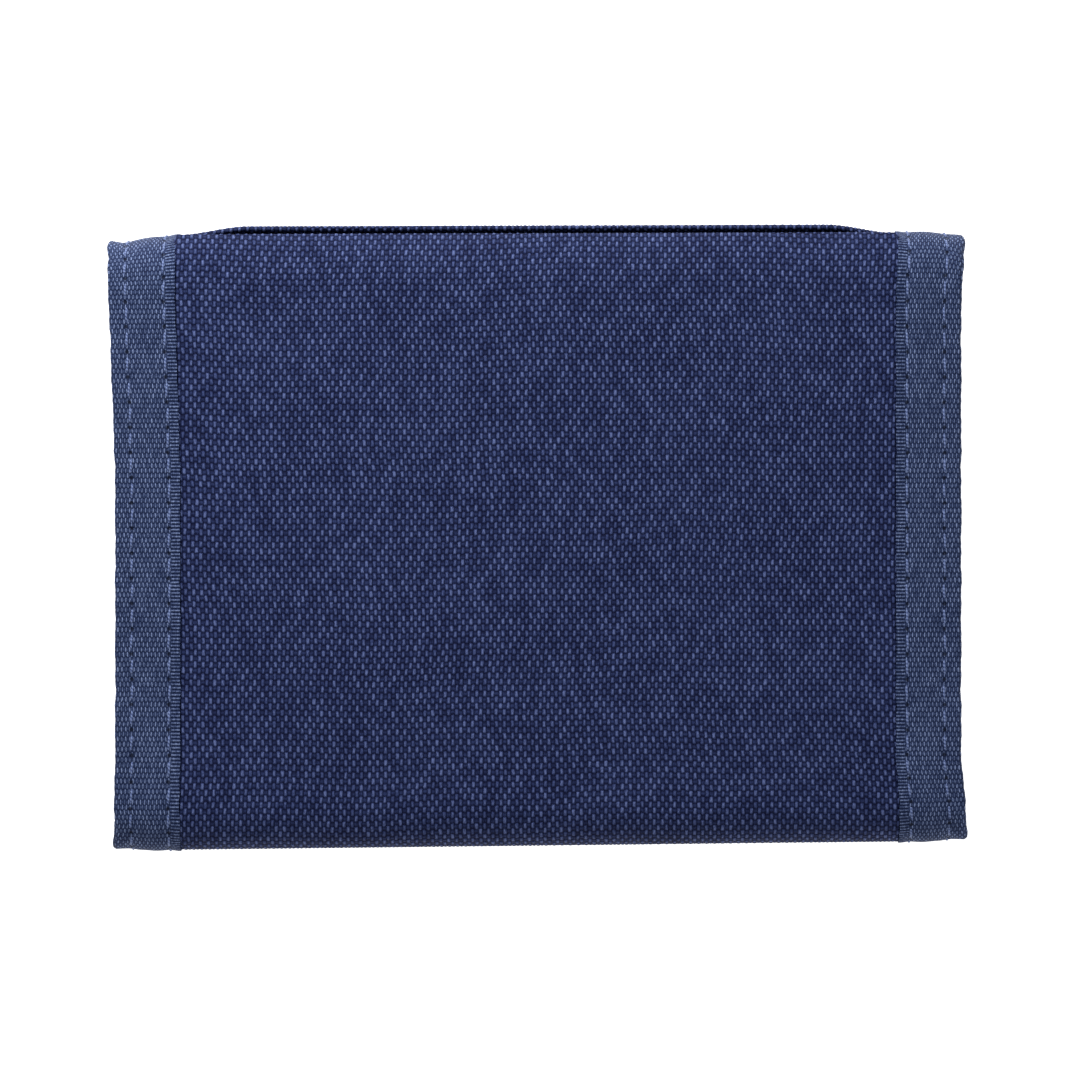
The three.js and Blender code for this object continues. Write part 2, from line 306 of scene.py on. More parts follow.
def plain_weave(sh, across, along, pitch_across, pitch_along, weft_share):
    """A plain weave seen from above: how high each float stands (0 in the holes, 1 on the warp floats) and
    a random number for each float."""
    u = sh.math("DIVIDE", across, pitch_across)
    v = sh.math("DIVIDE", along, pitch_along)
    iu, iv = sh.math("ROUND", u), sh.math("ROUND", v)
    du, dv = sh.sub(u, iu), sh.sub(v, iv)
    warp_wave = sh.math("COSINE", sh.mul(sh.add(v, iu), math.pi))
    weft_wave = sh.math("COSINE", sh.mul(sh.add(u, iv), math.pi))
    warp_round = sh.math("MAXIMUM", sh.sub(1.0, sh.mul(sh.mul(du, du), 3.2)), 0.0)
    weft_round = sh.math("MAXIMUM", sh.sub(1.0, sh.mul(sh.mul(dv, dv), 4.2)), 0.0)
    warp = sh.mul(warp_round, sh.spread(warp_wave, -0.85, 0.80))
    weft = sh.mul(weft_round, sh.spread(sh.mul(weft_wave, -1.0), -0.75, 0.75))
    weft = sh.mul(weft, weft_share)
    height = sh.math("SMOOTH_MAX", warp, weft, 0.08)
    float_number = sh.math("ROUND", sh.mul(sh.add(v, iu), 0.5))
    cell = sh.node("ShaderNodeCombineXYZ", {0: iu, 1: float_number}).outputs[0]
    chance = sh.node("ShaderNodeTexWhiteNoise", {0: cell}, noise_dimensions="3D").outputs["Value"]
    return height, chance


def weave_height(across, along, pitch_across, pitch_along, weft_share):
    """The same weave for real relief in a mesh."""
    u, v = across / pitch_across, along / pitch_along
    iu, iv = np.round(u), np.round(v)
    warp_round = np.clip(1 - 3.2 * (u - iu) ** 2, 0, 1)
    weft_round = np.clip(1 - 4.2 * (v - iv) ** 2, 0, 1)
    warp = warp_round * smooth(np.cos(np.pi * (v + iu)) / 1.5 + 0.5)
    weft = weft_round * smooth(-np.cos(np.pi * (u + iv)) / 1.5 + 0.5)
    return np.maximum(warp, weft * weft_share)


SHELL_PITCH = (0.604, 0.905)
SHELL_WEFT = 0.40
TAPE_PITCH = (0.302, 0.75)
TAPE_WEFT = 0.50
STITCH_PITCH = 3.8
STITCH_ROWS = (2.1, 7.75)
# near-black painted shade inside a needle hole
NEEDLE_HOLE_SHADE = (0.002, 0.003, 0.010)

# Tones by weave height: painted shade in the holes, the yarns' own blue on the floats, painted highlight on
# the crowns.
SHELL_SHADE_BODY_HIGHLIGHT = ((0.0008, 0.0020, 0.018), (0.018, 0.028, 0.088), (0.082, 0.108, 0.235))
TAPE_SHADE_BODY_HIGHLIGHT = ((0.0020, 0.0055, 0.026), (0.024, 0.038, 0.094), (0.142, 0.184, 0.315))


def shaded_yarn_colour(sh, lit, cloud, to_body, to_light, tones):
    """Painted shade in the holes, blue floats and painted highlights on the crowns, with the slow unevenness
    of the dye.
    """
    dark, body, light = tones
    lit = sh.add(lit, sh.mul(sh.sub(cloud, 0.5), 0.12))
    colour = sh.mix(sh.spread(lit, *to_body), dark, body)
    return sh.mix(sh.spread(lit, *to_light), colour, light)


def shell_material():
    """Coarse plain-woven polyester of the outside."""
    sh = Shader("shell_cloth", 0.7, 0.08)
    vector, across, along, _ = sh.cloth()
    wander = sh.sub(sh.noise(vector, 0.9, 2.0), 0.5)
    across = sh.add(across, sh.mul(wander, 0.30))
    along = sh.add(along, sh.mul(sh.sub(sh.noise(vector, 0.75, 2.0), 0.5), 0.35))
    level, chance = plain_weave(sh, across, along, *SHELL_PITCH, SHELL_WEFT)
    fibre = sh.noise(sh.place(vector, (7.5, 1.5, 1.0)), 1.0, 3.0, 0.65)
    cloud = sh.noise(vector, 0.06, 3.0, 0.55)
    lit = sh.mul(level, sh.add(0.72, sh.mul(sh.sub(fibre, 0.5), 1.5)))
    lit = sh.mul(lit, sh.add(0.80, sh.mul(chance, 0.45)))
    # the weave's height is painted into the colour: painted shade in the holes, painted highlight on the
    # crowns
    colour = shaded_yarn_colour(sh, lit, cloud, (0.08, 0.46), (0.40, 0.98), SHELL_SHADE_BODY_HIGHLIGHT)
    height = sh.add(level, sh.mul(fibre, 0.18))
    return sh.finish(colour, height, 0.00024, 0.9)


def tape_material():
    """Finer webbing, with a ribbed strip along its inner edge and the needle holes of its seams."""
    sh = Shader("webbing", 0.7, 0.08)
    vector, across, along, from_edge = sh.cloth()
    wander = sh.sub(sh.noise(vector, 1.1, 2.0), 0.5)
    across = sh.add(across, sh.mul(wander, 0.16))
    level, chance = plain_weave(sh, across, along, *TAPE_PITCH, TAPE_WEFT)
    rib = sh.add(0.5, sh.mul(sh.math("COSINE", sh.mul(along, 2 * math.pi / 0.53)), 0.5))
    edge = sh.spread(from_edge, 7.9, 8.2)
    ribbed = sh.add(sh.mul(rib, 0.72), sh.mul(level, 0.25))
    level = sh.add(sh.mul(level, sh.sub(1.0, edge)), sh.mul(ribbed, edge))
    holes = None
    phase = sh.math("ABSOLUTE", sh.sub(sh.math("FRACT", sh.math("DIVIDE", along, STITCH_PITCH)), 0.5))
    near_hole = sh.mul(sh.sub(0.5, phase), STITCH_PITCH)
    for row in STITCH_ROWS:
        away = sh.sub(from_edge, row)
        reach = sh.math("SQRT", sh.add(sh.mul(away, away), sh.mul(near_hole, near_hole)))
        hole = sh.spread(reach, 0.12, 0.42, 1.0, 0.0)
        holes = hole if holes is None else sh.math("MAXIMUM", holes, hole)
    fibre = sh.noise(sh.place(vector, (5.0, 1.6, 1.0)), 1.2, 3.0, 0.65)
    cloud = sh.noise(vector, 0.09, 3.0, 0.55)
    lit = sh.mul(level, sh.add(0.80, sh.mul(sh.sub(fibre, 0.5), 1.3)))
    lit = sh.mul(lit, sh.add(0.84, sh.mul(chance, 0.35)))
    # the height of the weave and the ribs is painted into the colour: painted shade in the holes, painted
    # highlight on the crowns
    colour = shaded_yarn_colour(sh, lit, cloud, (0.06, 0.50), (0.42, 0.98), TAPE_SHADE_BODY_HIGHLIGHT)
    # needle holes painted near-black: painted shade inside each hole
    colour = sh.mix(sh.mul(holes, 0.85), colour, NEEDLE_HOLE_SHADE)
    height = sh.sub(sh.add(level, sh.mul(fibre, 0.15)), sh.mul(holes, 1.2))
    return sh.finish(colour, height, 0.00016, 0.9)


def thread_material(name, colour, light):
    """Sewing thread with its twist, the twist's grooves in painted shade and its ridges in a painted
    highlight.
    """
    sh = Shader(name, 0.5, 0.15)
    _, across, along, _ = sh.cloth()
    twist = sh.math("SINE", sh.add(sh.mul(along, 2 * math.pi / 0.55), across))
    level = sh.add(0.5, sh.mul(twist, 0.5))
    # the twist's height is painted into the colour: painted shade in the grooves, painted highlight on the
    # ridges
    return sh.finish(sh.mix(level, colour, light), level, 0.00008, 0.8)


def lining_material():
    """Thin plain-woven nylon, with the crumples of cloth that has been sewn and folded."""
    sh = Shader("lining_cloth", 0.75, 0.05)
    vector, across, along, _ = sh.cloth()
    level, chance = plain_weave(sh, across, along, 0.33, 0.33, 0.8)
    crumple = sh.noise(vector, 0.13, 4.0, 0.55)
    lit = sh.mul(level, sh.add(0.75, sh.mul(chance, 0.3)))
    lit = sh.add(lit, sh.mul(sh.sub(crumple, 0.5), 0.5))
    # the weave's height and the crumples are painted into the colour: painted shade in the holes and hollows,
    # painted light on the floats and ridges
    colour = sh.mix(sh.spread(lit, 0.0, 1.0), (0.004, 0.007, 0.027), (0.030, 0.043, 0.110))
    height = sh.add(sh.mul(level, 0.10), sh.mul(crumple, 1.6))
    return sh.finish(colour, height, 0.00045, 0.7, sh.spread(crumple, 0.3, 0.7, 0.82, 0.68))


def fibre_material(name, roughness, specular, dark, light):
    """Moulded or spun nylon of the small parts, uneven in colour and gloss."""
    sh = Shader(name, roughness, specular)
    vector = sh.cloth()[0]
    fine = sh.noise(vector, 3.1, 3.0, 0.6)
    broad = sh.noise(vector, 0.25, 2.0)
    colour = sh.mix(sh.spread(sh.add(sh.mul(fine, 0.6), sh.mul(broad, 0.4)), 0.3, 0.7), dark, light)
    gloss = sh.spread(broad, 0.3, 0.7, roughness - 0.08, roughness + 0.1)
    return sh.finish(colour, fine, 0.00005, 0.6, gloss)


def zipper_cloth_material():
    """Herringbone tape of a zipper."""
    sh = Shader("zipper_cloth", 0.7, 0.1)
    vector, across, along, _ = sh.cloth()
    fold = sh.math("PINGPONG", along, 1.1)
    rib = sh.math("SINE", sh.mul(sh.add(across, fold), 2 * math.pi / 0.42))
    level = sh.add(0.5, sh.mul(rib, 0.5))
    fibre = sh.noise(vector, 4.0, 2.0, 0.6)
    lit = sh.mul(level, sh.add(0.6, sh.mul(fibre, 0.7)))
    # the rib height is painted into the colour: painted shade in the grooves, painted highlight on the ribs
    colour = sh.mix(sh.spread(lit, 0.0, 0.95), (0.005, 0.008, 0.027), (0.034, 0.046, 0.105))
    return sh.finish(colour, level, 0.00010, 0.8)


def metal_material():
    """Nickel plate, rubbed brighter here and duller there, with fine scratches."""
    sh = Shader("zipper_metal", 0.3, 0.5, Metallic=1.0)
    vector = sh.cloth()[0]
    rubbed = sh.noise(vector, 0.35, 3.0)
    scratch = sh.noise(sh.place(vector, (0.6, 9.0, 3.0)), 1.4, 3.0, 0.7)
    colour = sh.mix(sh.spread(rubbed, 0.35, 0.65), (0.20, 0.20, 0.20), (0.38, 0.38, 0.37))
    roughness = sh.spread(sh.add(sh.mul(scratch, 0.6), sh.mul(rubbed, 0.4)), 0.3, 0.7, 0.20, 0.46)
    return sh.finish(colour, scratch, 0.00002, 0.5, roughness)


def vinyl_material():
    """Clear soft vinyl, a little wavy and rubbed."""
    sh = Shader("clear_vinyl", 0.1, 0.2, Transmission_Weight=1.0, IOR=1.12)
    vector = sh.cloth()[0]
    wave = sh.noise(vector, 0.09, 2.0)
    scuff = sh.noise(sh.place(vector, (1.0, 4.0, 1.0)), 0.3, 3.0, 0.6)
    colour = sh.mix(sh.spread(scuff, 0.45, 0.7), (0.93, 0.94, 0.96), (0.80, 0.82, 0.85))
    return sh.finish(colour, wave, 0.0004, 0.3, sh.spread(scuff, 0.45, 0.72, 0.05, 0.20))


MATERIALS = {
    "shell": shell_material(),
    "tape": tape_material(),
    "lining": lining_material(),
    "hook": fibre_material("hook_tape", 0.55, 0.2, (0.006, 0.009, 0.026), (0.020, 0.027, 0.062)),
    "loop": fibre_material("loop_tape", 0.8, 0.1, (0.008, 0.012, 0.036), (0.040, 0.052, 0.110)),
    "zipper_cloth": zipper_cloth_material(),
    "coil": fibre_material("zipper_coil", 0.35, 0.4, (0.012, 0.017, 0.044), (0.030, 0.040, 0.085)),
    "metal": metal_material(),
    "vinyl": vinyl_material(),
    # the thread's second tone is the painted highlight on the twist's ridges
    "thread": thread_material("seam_thread", (0.045, 0.068, 0.165), (0.130, 0.170, 0.310)),
}


# ---------------------------------------------------------------- the lines that the cloth follows

MID_TOP_Z = 8.5
MID_BOTTOM_Z = (BACK_TOP + INNER_OUTER_Z) / 2
FINE, COARSE = 0.226, 1.5
TUCKED_END = 2.2

# Edge tape: flap free end, top fold, back, bottom fold, inner panel's free end.
TAPE_TOP_Y = TOP_FOLD_Y - 0.9
TAPE_BOTTOM_Y = BOTTOM_FOLD_Y + 0.05
tape_line = Strip(
    (FLAP_END_Y, 0),
    (0.5, (36, 0)),
    (0.4, (42, 0), (TAPE_TOP_Y, 3.2), (TAPE_TOP_Y, MID_TOP_Z)),
    (0.4, (TAPE_TOP_Y, 15.2), (43.9, BACK_TOP), (37.0, BACK_TOP)),
    (0.5, (SPLIT_Y, BACK_TOP)),
    (0.5, (-39.5, BACK_TOP)),
    (0.4, (-44, BACK_TOP), (TAPE_BOTTOM_Y, 15.6), (TAPE_BOTTOM_Y, MID_BOTTOM_Z)),
    (0.4, (TAPE_BOTTOM_Y, 7.5), (-44, INNER_OUTER_Z), (-39.5, INNER_OUTER_Z)),
    (0.5, (INNER_END_Y, INNER_OUTER_Z)),
    reach=3.5,
)
TAPE_MARKS = dict(zip(("start", "top", "split", "bottom", "end"), tape_line.marks[::2]))

# Far cloth: flap free end, round the top fold, then down inside the bill compartment as its divider.
FAR_TOP_Y = TOP_FOLD_Y - 1.1
far_line = Strip(
    (FLAP_END_Y + TUCKED_END, 0.35),
    (COARSE, (34, 0.3)),
    (0.45, (41.5, 0.3), (FAR_TOP_Y, 2.2), (FAR_TOP_Y, MID_TOP_Z)),
    (FINE, (FAR_TOP_Y, 12.3)),
    (0.12, (FAR_TOP_Y, 13.5), (45.2, 13.5), (45.1, 12.4)),
    (0.3, (45.0, 11.4), (44.6, 10.9), (43.8, 11.1)),
    (0.5, (41.0, 11.9), (38, 14.8), (30, 15.2)),
    (COARSE, (-42, 15.6)),
)

# Near cloth: hem inside the mouth, the mouth's edge, back, bottom fold, inner panel's free end.
SHELL_Z = BACK_TOP - 0.35
CLOTH_BOTTOM_Y = BOTTOM_FOLD_Y + 0.2
HEM_Y, HEM_Z = TOP_FOLD_Y - 1.55, 14.2
near_line = Strip(
    (36.5, BACK_TOP - 1.45),
    (COARSE, (40.0, BACK_TOP - 1.6), (43.2, 15.1), (HEM_Y - 0.55, HEM_Z + 0.15)),
    (0.10, (HEM_Y - 0.1, HEM_Z - 0.45), (HEM_Y + 0.55, HEM_Z + 0.05), (HEM_Y + 0.42, HEM_Z + 0.55)),
    (FINE, (HEM_Y - 0.9, 16.2), (41.4, SHELL_Z), (36.0, SHELL_Z)),
    (COARSE, (SPLIT_Y, SHELL_Z)),
    (COARSE, (-39.0, SHELL_Z)),
    (FINE, (-43.8, SHELL_Z), (CLOTH_BOTTOM_Y, 15.6), (CLOTH_BOTTOM_Y, MID_BOTTOM_Z)),
    (0.45, (CLOTH_BOTTOM_Y, 7.6), (-43.6, INNER_OUTER_Z + 0.35), (-39, INNER_OUTER_Z + 0.35)),
    (COARSE, (INNER_END_Y - TUCKED_END, INNER_OUTER_Z + 0.35)),
)


# ---------------------------------------------------------------- fold zones, and where each piece is put

BLENDS = {
    "flap": ("flap", "top_spine", (35, 0), (43.5, 7.0)),
    "top": ("top_spine", "back_panel", (43.9, 10.6), (35, 18)),
    "bottom": ("back_panel", "bottom_spine", (-34.5, 18), (-41.9, 13.4)),
    "inner": ("bottom_spine", "inner_panel", (-41.9, 9.6), (-34.5, 5.1)),
}


def attach(piece, nodes, hold):
    """Hides the CAD nodes that a finished piece stands for. hold is a fold zone, where the piece keeps its
    place with its transform applied, or the name of the one body that it is parented to."""
    if nodes:
        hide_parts(*nodes)
    if hold not in BLENDS:
        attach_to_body(piece, hold)
        return
    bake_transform(piece)


# ---------------------------------------------------------------- outer cloth

SHELL_THICKNESS = 0.45
CLOTH_HALF = TAPE_INNER + 3.0
CLOTH_COLUMNS = round(2 * CLOTH_HALF / 0.2)


def fold_relief(low, high, amount=0.13, fade=2.5):
    """Real yarns between two arc lengths, fading out before the coarse rows begin."""
    def relief(weave_x, weave_s, s):
        strength = smooth((s - low) / fade) * smooth((high - s) / fade)
        return amount * strength * weave_height(weave_x, weave_s, *SHELL_PITCH, SHELL_WEFT)
    return relief


def far_bulge(x, y, z):
    """The far layer stands prouder in the middle of the top fold than beside the tapes."""
    rise = 1.30 * smooth((54 - np.abs(x)) / 10.5) - 0.35 * smooth((np.abs(x) - 54) / 5)
    return tuck(x, y + rise * smooth((y - 38) / 7), z)


def tuck(x, y, z):
    """Under the tapes the cloth lies a tape's thickness further in, most of all round the folds."""
    under = smooth((np.abs(x) - TAPE_INNER + 0.3) / 1.1)
    y = y - 1.6 * under * smooth((y - 42.3) / 3) + 0.9 * under * smooth((-y - 36) / 7)
    sunk = smooth((3 - z) / 2) * 0.3 + bump_at(z, INNER_OUTER_Z, 1.2) * 0.4
    sunk = sunk - smooth((z - 15.9) / 1.2) * 0.45
    return x, y, z + under * sunk


def make_shell(line, pieces, relief, bulge):
    section = flat_section(CLOTH_HALF, SHELL_THICKNESS, CLOTH_COLUMNS)
    for name, zone, low, high, nodes in pieces:
        cloth = sweep(name, line, line.between(low, high), section, MATERIALS["shell"], relief, bulge)
        attach(cloth, nodes, zone)


def make_far_cloth():
    m = far_line.marks
    pieces = (("flap_cloth", "flap", m[0], m[2], ["flap_shell"]),
              ("bill_divider_cloth", "top", m[2], m[7], ["top_fold_shell", "bill_divider"]))
    make_shell(far_line, pieces, fold_relief(m[2] - 3, m[5] + 2), far_bulge)


def make_near_cloth():
    m = near_line.marks
    top_relief, bottom_relief = fold_relief(m[1] - 2, m[3] - 0.5), fold_relief(m[5] + 0.5, m[7] + 2)

    def relief(*place):
        return top_relief(*place) + bottom_relief(*place)

    pieces = (("back_cloth_upper", "top", m[0], m[4], ["back_shell"]),
              ("back_cloth_lower", "bottom", m[4], m[6], ["bottom_fold_shell"]),
              ("inner_cloth", "inner", m[6], m[8], ["inner_shell"]))
    make_shell(near_line, pieces, relief, tuck)


# ---------------------------------------------------------------- edge tapes and their seams

TAPE_THICKNESS = 0.42
TAPE_EDGE = HALF_WIDTH - 1.6
TAPE_NODES = {"flap": ["flap"], "top": ["top_fold", "back"], "bottom": ["bottom_fold"], "inner": ["inner"]}
TAPE_ZONES = (("flap", "start", "top"), ("top", "top", "split"),
              ("bottom", "split", "bottom"), ("inner", "bottom", "end"))


def stack_thickness(s):
    """Distance between the outer faces of the two legs of the tape along its line."""
    flap, back, inner, pressed = 2.6, 4.9, 4.2, 0.95
    m = tape_line.marks
    to_back = smooth((s - m[1]) / (m[3] - m[1]))
    to_inner = smooth((s - m[5]) / (m[7] - m[5]))
    full = flap + (back - flap) * to_back + (inner - back) * to_inner + 1.4 * bump_at(s, m[3] - 5.0, 4.0)
    return pressed + (full - pressed) * smooth((s + 0.3) / 1.9) * smooth((tape_line.length + 0.3 - s) / 1.9)


def tape_u():
    """Distances from the tape's folded edge at which the section has points, outer leg then inner leg."""
    width = TAPE_EDGE - TAPE_INNER
    return np.concatenate([np.arange(width, 0.3, -0.33), [0.15, 0.0]])


def tape_depth(u, s):
    """Depth of the outer leg: pinched towards the edge, pulled down at the seams, swollen between them."""
    pinch = 0.45 * (1 - np.clip(u / 8, 0, 1)) ** 1.6
    swell = -0.08 * np.sin(np.pi * np.clip((u - 2.1) / 5.6, 0, 1))
    phase = np.cos(2 * np.pi * s / STITCH_PITCH)
    seam = sum(bump_at(u, row, 0.75) for row in STITCH_ROWS)
    lip = -0.10 * bump_at(u, TAPE_EDGE - TAPE_INNER, 0.8)
    wander = 0.02 * np.sin(1.1 * s + 2.0 * u) + 0.04 * np.sin(0.37 * s + 1.0)
    return pinch + swell + seam * (0.10 + 0.05 * phase) + lip + wander


def make_tapes():
    """Each length of tape is folded round the edge: an outer leg, a turned web and an inner leg."""
    u = tape_u()
    web_turn = np.linspace(0, np.pi, 7)[1:-1]
    for side, sign in (("left", -1), ("right", 1)):
        for zone, low, high in TAPE_ZONES:
            rows = tape_line.between(TAPE_MARKS[low], TAPE_MARKS[high])
            s = rows[:, None]
            thick = stack_thickness(s)
            ragged = 0.03 * np.sin(1.3 * s) + 0.03 * np.sin(4.1 * s + 1.0) + 0.04 * np.sin(0.6 * s + 2)
            ragged = TAPE_EDGE + ragged + 0.03 * np.cos(2 * np.pi * s / STITCH_PITCH)
            leg = tape_depth(u[None], s)
            edge_depth = leg[:, -1:]
            half = (thick - 2 * edge_depth) / 2
            turn_x = half * 0.28 * np.sin(web_turn)[None] ** 0.6
            turn_d = edge_depth + half * (1 - np.cos(web_turn)[None])
            x_leg = ragged - u[None]
            x_out = np.concatenate([x_leg, ragged + turn_x, x_leg[:, ::-1]], axis=1)
            d_out = np.concatenate([leg, turn_d, thick - leg[:, ::-1]], axis=1)
            leg_in = leg + TAPE_THICKNESS
            shrink = (half - TAPE_THICKNESS) / half
            mid = edge_depth + half
            x_in = np.concatenate([x_leg, ragged + turn_x * shrink, x_leg[:, ::-1]], axis=1)
            turn_in = mid + (turn_d - mid) * shrink
            d_in = np.concatenate([leg_in, turn_in, thick - leg_in[:, ::-1]], axis=1)
            fold = edge_depth - turn_d
            across = np.concatenate([u + 0 * leg, fold, 2 * (edge_depth - mid) - u[::-1] + 0 * leg], axis=1)
            from_edge = np.concatenate([u, 0 * web_turn, u[::-1]])
            section = (sign * x_out, d_out, sign * x_in, d_in)
            name = f"{zone}_tape_{side}"
            tape = sweep(name, tape_line, rows, section, MATERIALS["tape"], bulge=tape_corner,
                         laid=lambda x, along: (across, along, np.broadcast_to(from_edge, x.shape)))
            attach(tape, [f"{node}_binding_{side}" for node in TAPE_NODES[zone]], zone)


def tape_corner(x, y, z):
    """The tape's top end slopes down to its outer corner."""
    out = np.clip((np.abs(x) - TAPE_INNER) / (HALF_WIDTH - TAPE_INNER), 0, 1.1)
    left = 0.10 - 1.15 * out
    right = 0.20 - 1.25 * smooth((out - 0.70) / 0.32)
    slope = np.where(x < 0, left, right)
    outermost = smooth((out - 0.72) / 0.16)
    at_top, at_bottom = smooth((y - 43) / 2.4), smooth((-y - 43.5) / 2.4)
    y = y + slope * smooth((y - 36) / 9) + outermost * (0.55 * at_top - 0.15 * at_bottom)
    return x + np.sign(x) * outermost * (0.55 * at_top + 0.40 * at_bottom), y, z


THREAD_NODES = {"flap": ["flap"], "top": ["back"], "bottom": [], "inner": ["inner"]}
THREAD_RADIUS = 0.165
STITCH_RINGS, STITCH_SIDES = 9, 8


def tape_stitch(centre, row, leg, sign):
    """Points and cloth coordinates of one stitch, which dips into a needle hole at each end."""
    along = np.linspace(-0.5, 0.5, STITCH_RINGS)
    turn = np.linspace(0, 2 * np.pi, STITCH_SIDES + 1)[:-1]
    s = centre + along * (STITCH_PITCH - 0.5)
    depth = tape_depth(np.full_like(s, row), s) - 0.03 + 0.55 * np.abs(2 * along) ** 3
    if leg:
        depth = stack_thickness(s) - depth
    y, z, ny, nz = (a[:, None] for a in tape_line.at(s))
    girth = (THREAD_RADIUS * (1 - 0.35 * np.abs(2 * along) ** 4))[:, None]
    x = sign * (TAPE_EDGE - row + 0.20 * along + 0.06 * math.sin(2.1 * centre))
    sunk = depth[:, None] - girth * np.sin(turn)
    corner = tape_corner(x[:, None] + girth * 1.15 * np.cos(turn), y - ny * sunk, z - nz * sunk)
    places = np.stack(np.broadcast_arrays(turn, s[:, None], 1.0), -1)
    return np.stack(settle(*corner), -1).reshape(-1, 3), places.reshape(-1, 3)


def make_seams():
    """Every stitch is its own short thread that comes out of one needle hole and goes into the next."""
    first = math.ceil(0.8 / STITCH_PITCH)
    last = int((tape_line.length - 0.8) / STITCH_PITCH) - 1
    centres = (np.arange(first, last + 1) + 0.5) * STITCH_PITCH
    for side, sign in (("left", -1), ("right", 1)):
        for zone, low, high in TAPE_ZONES:
            here = centres[(centres >= TAPE_MARKS[low]) & (centres < TAPE_MARKS[high])]
            stitches = [tape_stitch(c, row, leg, sign) for c in here for row in STITCH_ROWS for leg in (0, 1)]
            points, places = (np.vstack(a) for a in zip(*stitches))
            faces = []
            for i in range(len(stitches)):
                faces += tube_faces(STITCH_RINGS, STITCH_SIDES, i * STITCH_RINGS * STITCH_SIDES)
            if sign < 0:
                faces = [face[::-1] for face in faces]
            seams = new_object(f"{zone}_seams_{side}", points, faces, MATERIALS["thread"])
            set_cloth(seams, *places.T)
            nodes = [f"{node}_thread_{side}_{r}" for node in THREAD_NODES[zone] for r in ("outer", "inner")]
            attach(seams, nodes, zone)


# ---------------------------------------------------------------- thread of the inside seams

SMALL_STITCH = 2.7


def stitch_runs(name, runs, hold, shape=None):
    """Rows of small stitches. Each run is its start, its end and the outward direction of its surface."""
    along = np.linspace(-0.5, 0.5, 7)[:, None]
    turn = np.linspace(0, 2 * np.pi, 7)[:-1][None]
    girth = 0.14 * (1 - 0.3 * np.abs(2 * along) ** 4)
    dip = 0.30 * np.abs(2 * along) ** 3
    vertices, faces, places = [], [], []
    rings, sides = len(along), turn.shape[1]
    for start, end, out in runs:
        start, end, out = (np.array(p, float) for p in (start, end, out))
        length = np.linalg.norm(end - start)
        ahead = (end - start) / length
        beside = np.cross(ahead, out)
        count = max(1, round(length / SMALL_STITCH))
        for i in range(count):
            centre = start + (end - start) * (i + 0.5) / count
            wobble = 0.05 * math.sin(2.3 * i + start[0])
            lift = (0.05 - dip + girth * np.sin(turn))[..., None] * out
            aside = (wobble + 0.12 * along + girth * 1.15 * np.cos(turn))[..., None] * beside
            step = (along * length / count * 0.84 + 0 * turn)[..., None] * ahead
            base = sum(len(v) for v in vertices)
            vertices.append((centre + step + lift + aside).reshape(-1, 3))
            spot = np.broadcast_to(along * SMALL_STITCH + i * SMALL_STITCH, (rings, sides))
            places.append(np.stack([np.broadcast_to(turn, (rings, sides)), spot, spot], -1).reshape(-1, 3))
            faces += tube_faces(rings, sides, base)
    points = np.vstack(vertices)
    if shape is not None:
        points = np.stack(shape(*points.T), axis=-1)
    points = np.stack(settle(*points.T), axis=-1)
    thread = new_object(name, points, faces, MATERIALS["thread"])
    set_cloth(thread, *np.vstack(places).T)
    attach(thread, [], hold)


def tube_faces(rings, sides, base):
    """Faces of a closed tube of point rings that starts at vertex number base."""
    faces = []
    for i in range(rings - 1):
        for j in range(sides):
            a, b = base + i * sides + j, base + i * sides + (j + 1) % sides
            faces.append([a, a + sides, b + sides, b])
    faces.append([base + j for j in range(sides)])
    faces.append([base + (rings - 1) * sides + j for j in range(sides)][::-1])
    return faces


def square_runs(x0, x1, y0, y1, z, out):
    """Stitch rows round a rectangle that faces up or down."""
    corners = ((x0, y0), (x1, y0), (x1, y1), (x0, y1))
    return [((*a, z), (*b, z), (0, 0, out)) for a, b in zip(corners, corners[1:] + corners[:1])]


def laid_square(x, s):
    """Yarns that run straight, as on small trimmed pieces."""
    return x, s, np.zeros_like(x)


def woven(name, strip, half, thickness, material, hold, nodes, bulge=None, laid=drift, columns=90, span=None):
    """A cloth piece of even thickness along a strip, or a span of it."""
    low, high = span or (0, strip.length)
    rows = strip.between(low, high)
    section = flat_section(half, thickness, columns)
    piece = sweep(name, strip, rows, section, MATERIALS[material], bulge=bulge, laid=laid)
    attach(piece, nodes, hold)


# ---------------------------------------------------------------- lining and pockets

LINING_THICKNESS = 0.3
LINING_HALF = TAPE_INNER + 1.8
BACK_LINING_Z, FLAP_LINING_Z, INNER_LINING_Z = 14.05, 1.5, 6.75
lining_line = Strip(
    (INNER_END_Y - TUCKED_END, INNER_LINING_Z),
    (COARSE, (-38, INNER_LINING_Z + 0.2)),
    (0.5, (-41.5, INNER_LINING_Z + 0.2), (-43.4, 8.5), (-43.4, MID_BOTTOM_Z)),
    (0.5, (-43.4, 13.4), (-42, BACK_LINING_Z), (-38, BACK_LINING_Z)),
    (COARSE, (SPLIT_Y, BACK_LINING_Z)),
    (COARSE, (30, BACK_LINING_Z - 0.1)),
    (0.5, (37, BACK_LINING_Z - 0.4), (42.4, 12.1), (42.6, MID_TOP_Z)),
    (0.5, (42.9, 4.5), (42.4, FLAP_LINING_Z), (38.5, FLAP_LINING_Z)),
    (COARSE, (FLAP_END_Y + TUCKED_END, FLAP_LINING_Z)),
)


def lining_shape(x, y, z):
    """The lining closes up against the inner legs of the tapes."""
    side = smooth((np.abs(x) - 48) / 5.5)
    ripple = 0.06 * np.sin(0.21 * x + 0.9) * np.sin(0.17 * y + 0.3) * (1 - side)
    return x, y, z + side * (0.30 * smooth((z - 11) / 2) + 0.5 * smooth((4 - z) / 2)) + ripple


